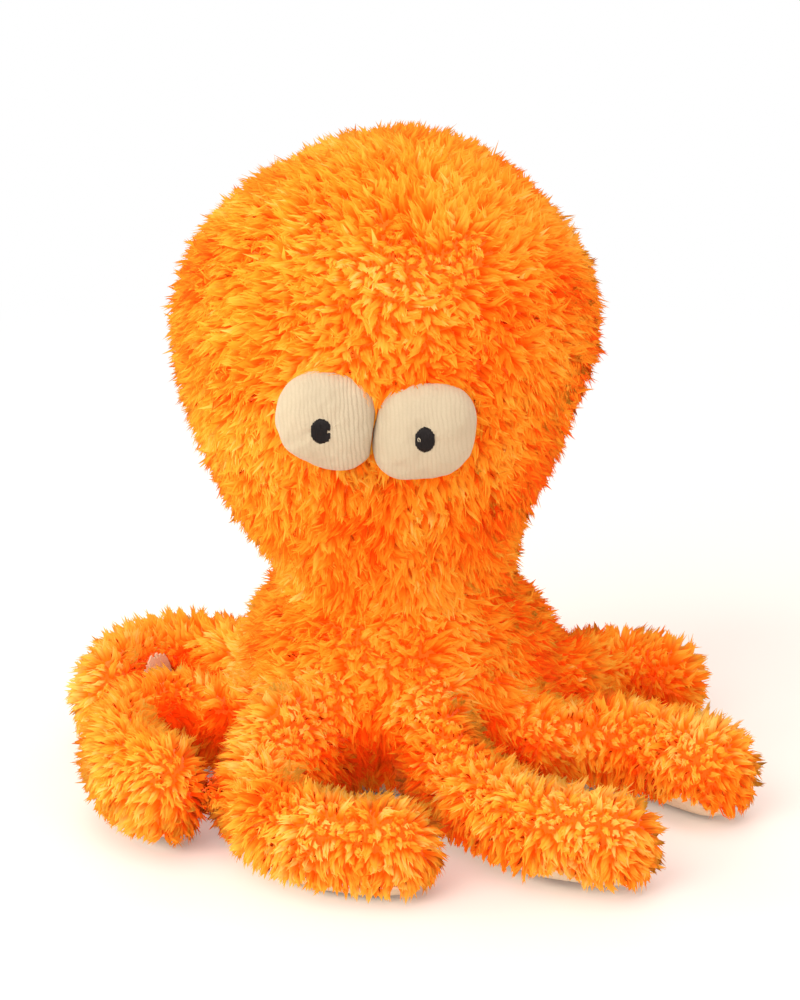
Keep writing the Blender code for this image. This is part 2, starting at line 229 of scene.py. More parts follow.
class Finish(Nodes):
    def __init__(self, name, **constants):
        self.material = bpy.data.materials.new(name)
        self.material.use_nodes = True
        super().__init__(self.material.node_tree)
        self.surface = self.tree.nodes["Principled BSDF"]
        for socket, value in constants.items():
            self.surface.inputs[socket.replace("_", " ")].default_value = value

    def place(self):
        return self.node("ShaderNodeTexCoord")[3]      # Object coordinates

    def feed(self, **inputs):
        for socket, value in inputs.items():
            self.link(value, self.surface.inputs[socket.replace("_", " ")])


pileColours = {
    # painted shade: the roots are redder, for the shade deep in the pile
    "root": [(0.0, (1.0, 0.050, 0.001)), (0.35, (1.0, 0.095, 0.002)), (1.0, (1.0, 0.170, 0.004))],
    "tip": [
        (0.0, (0.97, 0.060, 0.002)),
        (0.28, (0.96, 0.200, 0.008)),
        (0.5, (0.96, 0.325, 0.021)),
        (0.8, (0.96, 0.450, 0.050)),
        (1.0, (0.96, 0.550, 0.130)),
    ],
    "rootEnd": 0.15,         # shares of a strand's length between which the root's colour gives way
    "tipStart": 0.9,
}


def makePileFinish():
    # colour follows the strand's own map: tone across it, root to tip along it; the redder root is painted shade
    finish = Finish(
        "orange_pile", Roughness=0.8, Specular_IOR_Level=0.0,
        Sheen_Weight=0.35, Sheen_Roughness=0.6, Sheen_Tint=(1.0, 0.34, 0.05, 1),
    )
    spot = finish.node("ShaderNodeUVMap", {"uv_map": "OFBake"})[0]
    tone, along, _ = finish.node("ShaderNodeSeparateXYZ", {}, {0: spot})
    root = finish.node("ShaderNodeValToRGB", {"stops": pileColours["root"]}, {0: tone})[0]
    tip = finish.node("ShaderNodeValToRGB", {"stops": pileColours["tip"]}, {0: tone})[0]
    share = finish.node(
        "ShaderNodeMapRange", {"interpolation_type": "SMOOTHSTEP"},
        {
            "Value": along,
            "From Min": pileColours["rootEnd"] * pile["mapReach"],
            "From Max": pileColours["tipStart"] * pile["mapReach"],
        },
    )[0]
    finish.feed(Base_Color=finish.mixed(share, root, tip))
    return finish.material


knit = {
    "wale": 0.00142,
    "course": 0.0011,
    "slant": 0.55,           # how far the loops slant, in courses
    "depth": 0.00026,
    "light": (0.585, 0.48, 0.335),
    "dark": (0.42, 0.335, 0.225),
    "lean": 0.06,            # how far the wales lean from upright
    "sway": 0.0016,          # how far they wander, and the courses in courses
    "courseSway": 0.8,
    "swayScale": 160.0,
    "drawnAt": 0.0135,       # the wales stand out most this far to the left of the middle
    "drawnReach": 0.011,
    "fuzzScale": 2600.0,
    "wornScale": 90.0,
}


def makeKnitFinish(name, pale, deep, scale=1.0):
    # plain knit: upright wales with slanting loops between narrow grooves
    finish = Finish(name, Roughness=0.85, Specular_IOR_Level=0.15, Sheen_Weight=0.15, Sheen_Roughness=0.5)
    place = finish.place()
    sway = finish.noise(place, knit["swayScale"], 1.0) - 0.5
    x, _, z = finish.node("ShaderNodeSeparateXYZ", {}, {0: place})
    across = (x + z * knit["lean"] + sway * knit["sway"]) / (knit["wale"] * scale)
    half = finish.math("ABSOLUTE", finish.math("FRACT", across) * 2 - 1)
    wale = 1 - half ** 2.4
    drawn = 1 - finish.math("MINIMUM", finish.math("ABSOLUTE", x + knit["drawnAt"]) / knit["drawnReach"], 1.0)
    course = z / (knit["course"] * scale) + half * knit["slant"] + sway * knit["courseSway"]
    loop = finish.math("SINE", finish.math("FRACT", course) * math.pi)
    fuzz = finish.noise(place, knit["fuzzScale"], 3.0)
    worn = finish.noise(place, knit["wornScale"], 2.0)
    height = (wale * 0.62 + loop * wale * 0.22) * (worn * 0.6 + 0.08 + drawn * 0.6) + fuzz * 0.30
    share = finish.limited(height * 0.75 + worn * 0.3 + 0.16)
    finish.feed(
        Base_Color=finish.mixed(share, (*deep, 1), (*pale, 1)),
        Normal=finish.bump(height, knit["depth"] * scale),
    )
    return finish.material


nap = {
    "light": (0.80, 0.66, 0.48),
    "dark": (0.60, 0.44, 0.27),
    "fineScale": 1500.0,
    "clumpScale": 260.0,
    "depth": 0.0005,
}


def makeNapFinish():
    # short brushed fabric with fine soft clumps
    finish = Finish("cream_nap", Roughness=0.9, Specular_IOR_Level=0.1, Sheen_Weight=0.2, Sheen_Roughness=0.6)
    place = finish.place()
    height = finish.noise(place, nap["fineScale"], 4.0) * 0.6 + finish.noise(place, nap["clumpScale"], 3.0) * 0.6
    share = finish.limited(height * 1.6 - 0.45)
    finish.feed(
        Base_Color=finish.mixed(share, (*nap["dark"], 1), (*nap["light"], 1)),
        Normal=finish.bump(height, nap["depth"], 0.8),
    )
    return finish.material


thread = {
    "light": (0.018, 0.013, 0.012),
    "dark": (0.004, 0.002, 0.002),
    "fibreScale": 9000.0,
    "stretch": 0.12,         # how much coarser the fibres are along the stitch
    "depth": 0.0001,
}


def makeThreadFinish():
    # black satin thread: fine fibres along each upright stitch
    finish = Finish("black_thread", Roughness=0.38, Specular_IOR_Level=0.15)
    stretched = finish.node(
        "ShaderNodeMapping", {}, {"Vector": finish.place(), "Scale": (1, 1, thread["stretch"])},
    )[0]
    fibre = finish.noise(stretched, thread["fibreScale"], 2.0)
    finish.feed(
        Base_Color=finish.mixed(fibre, (*thread["dark"], 1), (*thread["light"], 1)),
        Normal=finish.bump(fibre, thread["depth"], 0.6),
    )
    return finish.material


light = {
    "lamps": {
        "key": {"place": (-1.05, -0.95, 1.35), "size": 1.2, "power": 19.5, "colour": (1.0, 0.995, 0.92)},
        "fill": {"place": (1.35, -0.95, 0.9), "size": 1.4, "power": 4.5, "colour": (1.0, 0.90, 0.86)},
        "top": {"place": (-0.1, 0.2, 1.75), "size": 1.5, "power": 15, "colour": (1.0, 0.98, 0.94)},
        "front": {"place": (-0.3, -1.75, 0.35), "size": 1.2, "power": 12, "colour": (1.0, 0.93, 0.90)},
        "left": {"place": (-1.7, 0.1, 0.35), "size": 1.2, "power": 13.5, "colour": (1.0, 1.0, 0.90)},
        "right": {"place": (1.7, 0.1, 0.35), "size": 1.2, "power": 8.5, "colour": (1.0, 0.72, 0.58)},
        "back": {"place": (0.0, 1.7, 0.6), "size": 1.4, "power": 9, "colour": (1.0, 0.9, 0.8)},
    },
    "aim": (0, 0, 0.1),
    "room": 0.46,
    "roomColour": (1, 0.985, 0.97),
    "floorSize": 8,
    # painted light: the floor is a warm cream, for the orange light that the pile throws into its shadow
    "floorColour": (0.86, 0.815, 0.775),
    "floorNear": 0.10,       # distances from the middle between which the floor turns to plain white
    "floorFar": 0.62,
    "floorWhite": 0.06,      # share of plain white nearer than that
}


def makeFloor():
    bm = bmesh.new()
    bmesh.ops.create_grid(bm, x_segments=1, y_segments=1, size=light["floorSize"])
    floor = newPiece("floor", meshOf(bm, "floor"))
    finish = Finish("floor_paper", Roughness=0.9, Specular_IOR_Level=0.1, Base_Color=(*light["floorColour"], 1))
    seen = finish.seenPlain()
    white = finish.node("ShaderNodeEmission", {}, {0: (1, 1, 1, 1), 1: 1.0})[0]
    plain = Sum(finish, finish.surface.outputs[0])
    away = finish.node("ShaderNodeVectorMath", {"operation": "LENGTH"}, {0: finish.place()})[0]
    far = finish.node(
        "ShaderNodeMapRange", {"interpolation_type": "SMOOTHSTEP"},
        {0: away, 1: light["floorNear"], 2: light["floorFar"], 3: light["floorWhite"], 4: 1.0},
    )[0]
    mix = finish.node("ShaderNodeMixShader", {}, {0: seen * far, 1: plain, 2: white})[0]
    finish.link(mix, finish.tree.nodes["Material Output"].inputs["Surface"])
    floor.data.materials.append(finish.material)


def aim(item, place, target):
    item.location = place
    item.rotation_euler = (Vector(target) - Vector(place)).to_track_quat("-Z", "Y").to_euler()


def makeLights():
    for name, settings in light["lamps"].items():
        data = bpy.data.lights.new(name, "AREA")
        data.shape = "DISK"
        data.size = settings["size"]
        data.energy = settings["power"]
        data.color = settings["colour"]
        item = bpy.data.objects.new(name, data)
        collection.objects.link(item)
        aim(item, settings["place"], light["aim"])
    world = bpy.data.worlds.new("room")
    bpy.context.scene.world = world
    world.use_nodes = True
    nodes = Nodes(world.node_tree)
    soft = nodes.tree.nodes["Background"]
    nodes.link((*light["roomColour"], 1), soft.inputs["Color"])
    nodes.link(light["room"], soft.inputs["Strength"])
    white = nodes.node("ShaderNodeBackground", {}, {"Color": (1, 1, 1, 1), "Strength": 1.0})[0]
    seen = nodes.seenPlain()
    mix = nodes.node("ShaderNodeMixShader", {}, {0: seen, 1: Sum(nodes, soft.outputs[0]), 2: white})[0]
    nodes.link(mix, nodes.tree.nodes["World Output"].inputs["Surface"])


camera = {
    "target": (0.0013, 0, 0.0964),
    "distance": 1.2,
    "elevation": 19,
    "lens": 125,
    "sensor": 36,
    "clip": 20,
}


def makeCamera():
    data = bpy.data.cameras.new("camera")
    data.lens = camera["lens"]
    data.sensor_width = camera["sensor"]
    data.clip_end = camera["clip"]
    item = bpy.data.objects.new("camera", data)
    collection.objects.link(item)
    rise = math.radians(camera["elevation"])
    target = Vector(camera["target"])
    place = target + camera["distance"] * Vector((0, -math.cos(rise), math.sin(rise)))
    aim(item, place, target)
    bpy.context.scene.camera = item


armNames = sorted(name for name in frame["bodies"] if name.startswith("arm_"))
armOut = {}
for name in armNames:
    axis = joints[name + "_lift"]["axis"]
    armOut[name] = np.array((-axis[1], axis[0], 0.0))

skin = {
    "voxel": 0.002,
    "relax": 10,
    "crookRelax": 40,        # more rounds where the arms meet the body
    "crookOut": (0.040, 0.066),
    "crookUp": (0.014, 0.060),
    "tuck": 0.0035,          # how far the form draws in under itself at the floor
    "tuckHeight": 0.016,
    "riseStart": 0.056,      # distance out from the middle at which an arm begins to stand higher
    "riseOver": 0.022,
    "groove": 0.0022,        # how far the neck is drawn in by its seam
    "grooveHeight": 0.0065,
    "lookRays": 22,
    "lookRise": 0.004,
    "lookFar": 0.055,
    "lookNormal": 0.3,       # how much the form's own facing counts in the open side's
    "floorFar": 0.3,         # share of lookFar within which the floor is near
    "floorShine": 0.6,       # how open the near floor counts
    "shadeFar": 0.3,
    "fillVoxel": 0.004,
    "fillPressure": 4,
    "fillCap": 0.002,
    "fillStart": 0.0003,     # how much smaller the form is before it is filled
    "depth": 0.005,          # from the mean surface of the pile down to the backing
    "seamDepth": 0.001,      # the same at the seam with a sole
    "seamHeight": 0.0065,
    "seamRise": 0.010,       # height over which the pile reaches its full depth
    "neck": 0.068,
    "armStart": 0.052,       # distance out from the middle at which an arm's pieces begin
    "wall": 0.0008,
    "turnedEdge": 1.2,       # how fast the pile deepens again beside a place where a sole shows
}

# soft bulges and hollows: where, how far round it, and how far the form moves there
pushes = [
    ((0.061, 0.016, 0.200), 0.030, (-0.0046, -0.001, -0.0034)),
    ((-0.040, 0.020, 0.214), 0.026, (0.0014, -0.0006, -0.0026)),
    ((-0.076, -0.004, 0.168), 0.018, (-0.0022, 0, 0)),
    ((-0.056, 0, 0.104), 0.020, (0.0022, 0, 0)),
    ((0.058, 0.014, 0.046), 0.018, (0.0070, 0.0015, 0.0050)),
    ((-0.056, 0.026, 0.046), 0.018, (-0.0060, 0.0030, 0.0045)),
    ((-0.030, -0.052, 0.036), 0.018, (-0.0030, -0.0050, 0.0100)),
    ((0.016, -0.056, 0.036), 0.017, (0.0010, -0.0040, 0.0095)),
    ((-0.006, -0.050, 0.020), 0.013, (0.0010, 0.0095, 0.0030)),
    ((-0.004, -0.052, 0.008), 0.013, (0.0010, 0.0070, 0.0040)),
    ((-0.050, -0.048, 0.028), 0.020, (-0.0070, -0.0020, 0.0070)),
    ((0.032, -0.041, 0.022), 0.013, (-0.0050, 0.0065, 0.0010)),
    ((-0.044, -0.034, 0.018), 0.014, (0.0080, 0.0062, 0.0040)),
    ((-0.071, -0.064, 0.012), 0.011, (0.0075, 0, 0)),
    ((-0.057, -0.066, 0.012), 0.011, (-0.0070, 0, 0)),
    ((-0.114, -0.020, 0.021), 0.009, (-0.0040, 0, 0)),
]

# places where a sole turns up and shows: the arm, where, and how far it reaches each way
turnedUp = [
    ("arm_1", (-0.0862, 0.0210, 0.0222), (0.0070, 0.0135, 0.0068)),
    ("arm_4", (0.0490, -0.1170, 0.0025), (0.0100, 0.0080, 0.0070)),
    ("arm_5", (0.0935, -0.0625, 0.0035), (0.0120, 0.0095, 0.0085)),
]

# how much higher an arm's outer part stands than its even tube, and how far its end is off the floor
armRise = {
    "arm_1": (1.22, 0.0), "arm_2": (1.24, 0.004), "arm_3": (1.15, 0.0), "arm_4": (1.12, 0.0015),
    "arm_5": (1.10, 0.0005), "arm_6": (1.20, 0.0), "arm_7": (1.0, 0.0), "arm_8": (1.0, 0.0),
}


def softForm():
    # one closed surface round the head, body and arms, rounded where they meet
    bm = bmesh.new()
    for name, node in frame["nodes"].items():
        if not name.startswith("eye_"):
            bm.from_mesh(node.data)
    bmesh.ops.remove_doubles(bm, verts=bm.verts, dist=1e-6)
    form = newPiece("soft_form", meshOf(bm, "soft_form"))
    remesh = form.modifiers.new("Remesh", "REMESH")
    remesh.mode = "VOXEL"
    remesh.voxel_size = skin["voxel"]
    finished(form)
    bm = bmesh.new()
    bm.from_mesh(form.data)
    largest = max(islands(bm), key=len)
    loose = [v for v in bm.verts if v not in largest]
    bmesh.ops.delete(bm, geom=loose, context="VERTS")
    smoothed(bm, bm.verts, skin["relax"])
    near, far = skin["crookOut"]
    low, high = skin["crookUp"]
    crook = [v for v in bm.verts if near < math.hypot(v.co.x, v.co.y) < far and low < v.co.z < high]
    smoothed(bm, crook, skin["crookRelax"])
    fillForm(bm)
    shapeForm(bm)
    bmesh.ops.recalc_face_normals(bm, faces=bm.faces)
    bm.normal_update()
    for vert in bm.verts:
        vert.co.z = max(vert.co.z, 0.0)
    print("soft form:", len(bm.verts), "points,", len(loose), "left out inside")
    bpy.data.objects.remove(form)
    return bm


def fillForm(bm):
    # the stuffing swells a coarser copy of the form, and the form follows it
    copy = bpy.data.meshes.new("filled_form")
    bm.to_mesh(copy)
    coarse = newPiece("filled_form", copy)
    remesh = coarse.modifiers.new("Remesh", "REMESH")
    remesh.mode = "VOXEL"
    remesh.voxel_size = skin["fillVoxel"]
    finished(coarse)
    began = np.array([v.co for v in coarse.data.vertices])
    puffed(coarse, skin["fillPressure"], skin["fillCap"])
    moved = np.array([v.co for v in coarse.data.vertices]) - began
    tree = treeOf(began)
    bm.normal_update()
    steps = []
    for vert in bm.verts:
        near = tree.find_n(vert.co, 6)
        weights = np.array([1 / (gap + 0.001) for _, _, gap in near])       # nearer points count more
        step = (moved[[k for _, k, _ in near]] * weights[:, None]).sum(axis=0) / weights.sum()
        steps.append(Vector(step) - vert.normal * skin["fillStart"])
    for vert, step in zip(bm.verts, steps):
        vert.co += step
    bpy.data.objects.remove(coarse)


def shapeForm(bm):
    # the bulges and hollows, the arms' height, the neck's seam and the tuck at the floor
    trees = armTrees()
    co = np.array([v.co for v in bm.verts])
    normal = np.array([v.normal for v in bm.verts])
    for at, reach, move in pushes:
        gap = np.linalg.norm(co - np.array(at), axis=1) / reach
        co += np.array(move) * np.exp(-gap * gap)[:, None]
    for k, vert in enumerate(bm.verts):
        if vert.co.z > skin["neck"]:
            continue
        near = min(armNames, key=lambda name: trees[name].find_nearest(vert.co)[3])
        out = float(np.dot(co[k], armOut[near]))
        share = float(smoothStep((out - skin["riseStart"]) / skin["riseOver"]))
        rise, lift = armRise[near]
        co[k, 2] = co[k, 2] * (1 + (rise - 1) * share) + lift * share
    side = normal.copy()
    side[:, 2] = 0
    ring = np.exp(-((co[:, 2] - skin["neck"]) / skin["grooveHeight"]) ** 2)
    co -= unit(side) * (skin["groove"] * ring)[:, None]
    low = 1 - smoothStep(co[:, 2] / skin["tuckHeight"])
    co -= side * (skin["tuck"] * low)[:, None]
    for vert, place in zip(bm.verts, co):
        vert.co = place


def islands(bm):
    # the sets of joined points
    seen, found = set(), []
    for start in bm.verts:
        if start in seen:
            continue
        island, edge = {start}, [start]
        while edge:
            vert = edge.pop()
            for other in (link.other_vert(vert) for link in vert.link_edges):
                if other not in island:
                    island.add(other)
                    edge.append(other)
        seen |= island
        found.append(island)
    return found


def opennessOf(bm):
    # what each point of the form sees of the room, the lamps' light there, and the way to the open side
    tree = BVHTree.FromBMesh(bm)
    random = np.random.default_rng(7)
    ways = unit(random.normal(size=(skin["lookRays"], 3)))
    values = {}
    for vert in bm.verts:
        normal = vert.normal
        start = vert.co + normal * skin["lookRise"]
        free, total, opening = 0.0, 0.0, Vector((0, 0, 0))
        for way in ways:
            way = Vector(way)
            slope = way.dot(normal)
            if slope < 0:
                way, slope = -way, -slope
            total += slope
            if way.z < 0 and start.z + way.z * skin["lookFar"] * skin["floorFar"] < 0:
                free += slope * skin["floorShine"]
            elif tree.ray_cast(start, way, skin["lookFar"])[0] is None:
                free += slope
                opening += way * slope
        facing = (normal * skin["lookNormal"] + (opening / total if free else normal)).normalized()
        glow = 0.0
        for lamp in light["lamps"].values():
            way = Vector(lamp["place"]) - vert.co
            far = way.length
            slope = facing.dot(way) / far
            if slope > 0 and tree.ray_cast(start, way / far, skin["shadeFar"])[0] is None:
                glow += lamp["power"] * slope / far ** 2
        values[vert] = (free / total, glow, *facing)
    return values


def armTrees():
    # each arm's solids, to find the arm that a point belongs to
    trees = {}
    for name in armNames:
        bm = bmesh.new()
        bm.from_mesh(frame["nodes"][name + "_cover"].data)
        bm.from_mesh(frame["nodes"][name + "_sole"].data)
        trees[name] = BVHTree.FromBMesh(bm)
        bm.free()
    return trees


def turnedReach(points, arm=None):
    # 1 on the edge of the nearest place where a sole shows, less inside it
    reach = np.full(len(points), np.inf)
    for name, at, sides in turnedUp:
        if arm in (None, name):
            away = (points - np.array(at)) / np.array(sides)
            reach = np.minimum(reach, np.linalg.norm(away, axis=1))
    return reach


def cutForm(bm):
    # cuts at the neck, the soles' seam and the arms' roots, and sorts the faces by piece
    def cut(point, normal):
        bmesh.ops.bisect_plane(
            bm, geom=bm.verts[:] + bm.edges[:] + bm.faces[:], plane_co=point, plane_no=normal, dist=1e-5,
        )

    cut((0, 0, skin["neck"]), (0, 0, 1))
    cut((0, 0, skin["seamHeight"]), (0, 0, 1))
    for name in armNames:
        cut(armOut[name] * skin["armStart"], armOut[name])
    trees = armTrees()
    found = {}
    for face in bm.faces:
        middle = face.calc_center_median()
        low = middle.z < skin["seamHeight"]
        if middle.z > skin["neck"]:
            key = "head"
        else:
            near = min(armNames, key=lambda name: trees[name].find_nearest(middle)[3])
            low = low or turnedReach(np.array([middle]), near)[0] < 1
            out = float(np.dot(np.array(middle), armOut[near]))
            if out > skin["armStart"]:
                key = near + ("_sole" if low else "_cover")
            else:
                key = "base_panel" if low else "body_cover"
        found.setdefault(key, []).append(face)
    return found


def depthAt(co):
    # how deep the backing lies: less near the seam with a sole
    share = min(1, max(0, (co.z - skin["seamHeight"]) / skin["seamRise"]))
    beside = (float(turnedReach(np.array([co]))[0]) - 1) * skin["turnedEdge"]
    share = min(share, max(0, beside))
    share = share * share * (3 - 2 * share)
    return skin["seamDepth"] + (skin["depth"] - skin["seamDepth"]) * share


pile = {
    "density": 1.15e6,       # strands a square metre
    "length": 0.0084,
    "lengths": (1, 0.18, 0.55, 1.5),        # middle, spread, least and most, as a share of length
    "width": 0.0017,
    "widths": (0.75, 1.25),
    "fine": 0.3,             # share of thin strands
    "fineWidth": 0.5,
    "fineLength": 1.14,
    "ridge": 0.42,           # height of a strand's ridge over its width
    "rings": (0.58,),
    "outline": ((0, 0.8), (0.58, 1.0), (1, 0)),
    "lean": (2, 58),         # degrees from upright, at the root and at the tip
    "ownTurn": 16,           # degrees that a strand turns away from the comb by itself
    "ownSway": (0.75, 1.2),
    "patch": 0.015,          # size of a patch of like direction
    "patchTurn": 60,
    "patchSway": 0.16,       # how much more or less a patch leans, with the least and the most
    "patchSways": (0.7, 1.35),
    "locks": 7,              # strands a lock
    "lockTurn": 44,
    "lockSway": (1, 0.18, 0.6, 1.4),
    "lockLength": (1.04, 0.16, 0.6, 1.5),
    "lockBow": 0.22,         # sideways bend of a lock over its length
    "lockPull": (0.5, 0.92),
    "lockReach": (0.8, 1.1),
    "frizz": 0.0005,
    "floor": 0.0004,
    "floorSpread": 0.0006,
    "sunk": 0.0005,          # depth of the roots below the backing
    "underEye": 0.0014,      # how far under an eye pad's rim strands still grow
    "softShade": 0.72,       # how far a strand is shaded as one that faces the open side of its place
    "goreTurn": -5,          # degrees that the front seam is turned to the picture's left
    "fringe": 1.06,          # strands stop this near a place where a sole shows
    "fringeShort": (0.45, 0.7),             # their length there, and how far they are shorter
    "seamShort": 0.72,       # their length at the seam with a sole
    "droop": 1.3,            # how much more the pile points down close to the floor
    "droopRise": 0.014,
    "armFall": 0.35,
    "armShort": 0.86,
    "armUpright": 0.8,
    # painted light: the arms' pile is painted paler and yellower, for the light from above and off the floor
    "armTone": 0.23,
    "tones": 0.008,          # width of a strand on its tone map
    "mapReach": 0.25,        # length of a strand on it
    "mapEdge": 0.01,
    "tone": 0.5,
    "toneSpread": 0.12,
    "lockToneSpread": 0.10,
    "patchTone": 0.16,
    "patchToneSize": 0.03,
    "toneEnds": (0.02, 0.98),
    "deepTone": 0.68,        # painted shade: how much redder the pile is painted deep in the folds, where the shade falls
    "deep": (0.10, 0.86),    # openness at which it is reddest, and at which it is as elsewhere
    "shadeTone": 0.20,       # how much redder it is where the lamps don't reach
    "shade": (2.0, 9.5),     # the lamps' light, in the same way
    "tinted": [              # where, reach and change: lighter at the parting, and painted shade, redder, at spots in the deepest shade
        ((-0.006, -0.055, 0.186), 0.016, 0.22),
        ((0.064, 0.022, 0.038), 0.022, -0.40),
        ((0.070, 0.045, 0.034), 0.016, -0.40),
        ((0.051, 0.012, 0.052), 0.011, -0.30),
        ((0.048, -0.012, 0.036), 0.014, -0.35),
        ((0.027, -0.075, 0.041), 0.014, -0.45),
        ((-0.035, -0.098, 0.031), 0.010, -0.35),
        ((-0.083, -0.030, 0.028), 0.010, -0.35),
        ((0.066, 0.015, 0.143), 0.014, -0.30),
    ],
}


def strandTemplate():
    # one closed tapering strand with three sides: x and y across it, z from root to tip
    bm = bmesh.new()
    bmesh.ops.create_cone(bm, cap_ends=True, cap_tris=False, segments=3, radius1=1, radius2=0, depth=1)
    bmesh.ops.translate(bm, verts=bm.verts, vec=(0, 0, 0.5))
    for share in pile["rings"]:
        bmesh.ops.bisect_plane(
            bm, geom=bm.verts[:] + bm.edges[:] + bm.faces[:], plane_co=(0, 0, share), plane_no=(0, 0, 1),
        )
    bmesh.ops.remove_doubles(bm, verts=bm.verts, dist=1e-5)
    bmesh.ops.triangulate(bm, faces=bm.faces[:])
    bmesh.ops.recalc_face_normals(bm, faces=bm.faces)
    points = np.array([v.co for v in bm.verts])
    faces = np.array([[v.index for v in face.verts] for face in bm.faces])
    bm.free()
    taper = np.maximum(1 - points[:, 2], 1e-6)
    across = points[:, :2] / taper[:, None]
    across[points[:, 2] > 0.999] = 0
    return across, points[:, 2], faces


strandAcross, strandAlong, strandFaces = strandTemplate()
stations, stationOf = np.unique(np.round(strandAlong, 4), return_inverse=True)


def scatter(points, corners, normals, sight, random):
    # roots spread over triangles, with the normal and what is seen smoothed from their corners
    a, b, c = points[corners[:, 0]], points[corners[:, 1]], points[corners[:, 2]]
    area = np.linalg.norm(np.cross(b - a, c - a), axis=1) / 2
    count = int(round(area.sum() * pile["density"]))
    order = np.cumsum(area) / area.sum()
    pick = np.searchsorted(order, (np.arange(count) + random.uniform(0, 1, count)) / count)
    pick = np.clip(pick, 0, len(corners) - 1)
    u, v = random.uniform(0, 1, count), random.uniform(0, 1, count)
    over = u + v > 1
    u[over], v[over] = 1 - u[over], 1 - v[over]
    w = np.stack([1 - u - v, u, v], axis=1)
    at = np.einsum("ij,ijk->ik", w, points[corners[pick]])
    up = unit(np.einsum("ij,ijk->ik", w, normals[corners[pick]]))
    return at, up, np.einsum("ij,ijk->ik", w, sight[corners[pick]])


headComb = {
    "down": (0.0, -0.12, -1.0),
    "whorl": (0.024, -0.045, 0.205),
    "whorlReach": 0.045,
    "whorlPull": 1.6,
    "seam": -0.012,          # the front seam's distance from the middle, and how fast the pile parts there
    "seamWidth": 0.006,
    "seamPull": 0.55,
    "seamFront": (0.01, 0.03),              # how far forward and how high the parting begins, and over what
    "seamHeight": (0.150, 0.02),
}


def combHead(at, up):
    # down the head, away from a whorl at the crown, and apart along the front seam
    down = flatTo(np.tile(headComb["down"], (len(at), 1)), up)
    whorl = at - np.array(headComb["whorl"])
    near = np.exp(-np.sum(whorl * whorl, axis=1) / headComb["whorlReach"] ** 2)[:, None]
    away = flatTo(whorl, up)
    side = np.zeros_like(at)
    side[:, 0] = np.tanh((at[:, 0] - headComb["seam"]) / headComb["seamWidth"])
    forward, over = headComb["seamFront"]
    front = smoothStep((-at[:, 1] - forward) / over)
    height, over = headComb["seamHeight"]
    front = (front * smoothStep((at[:, 2] - height) / over))[:, None]
    return unit(
        unit(down) * (1 - near) + unit(away) * near * headComb["whorlPull"]
        + flatTo(side, up) * headComb["seamPull"] * front
    )


def combBody(at, up):
    out = at.copy()
    out[:, 2] = 0
    return unit(flatTo(unit(out) * 0.5 + np.array((0, 0, -1.0)), up))


def combArm(name):
    # outwards from a point behind the arm's root, and down close to the floor
    start = np.array(joints[name + "_lift"]["pos_m"]) - armOut[name] * 0.02

    def comb(at, up):
        away = at - start
        away[:, 2] *= 0.3
        droop = 1 - smoothStep((at[:, 2] - skin["seamHeight"]) / pile["droopRise"])
        fall = np.array((0, 0, -1.0)) * (pile["armFall"] + pile["droop"] * droop)[:, None]
        return unit(flatTo(unit(away) + fall, up))

    return comb


def strandLines(at, up, comb, length, sway):
    # where each strand passes at each station, bending over from the root to the tip
    root, tip = np.radians(pile["lean"])
    start, end = root * np.ones(len(at)), tip * sway
    turn = np.where(np.abs(end - start) < 1e-3, 1e-3, end - start)
    lines = []
    for t in stations:
        rise = (np.sin(start + turn * t) - np.sin(start)) / turn
        run = (np.cos(start) - np.cos(start + turn * t)) / turn
        lines.append(at + length[:, None] * (up * rise[:, None] + comb * run[:, None]))
    return np.stack(lines, axis=1)


def turned(vectors, axes, angles):
    cosine, sine = np.cos(angles)[:, None], np.sin(angles)[:, None]
    return vectors * cosine + np.cross(axes, vectors) * sine


def varied(random, settings, count):
    middle, spread, least, most = settings
    return np.clip(random.normal(middle, spread, count), least, most)


def toneOf(at, seen, tint):
    # painted shade: the pile is painted redder deep in the folds and where the lamps don't reach
    deep = pile["deepTone"] * (1 - between(seen[:, 0], *pile["deep"]))
    shade = pile["shadeTone"] * (1 - between(seen[:, 1], *pile["shade"]))
    tone = pile["tone"] + tint - shade - deep + pile["patchTone"] * ripple(at, pile["patchToneSize"], 21)
    # painted shade at the listed spots, and the lighter pile at the parting
    for middle, reach, change in pile["tinted"]:
        gap = np.linalg.norm(at - np.array(middle), axis=1) / reach
        tone += change * np.exp(-gap * gap)
    return tone


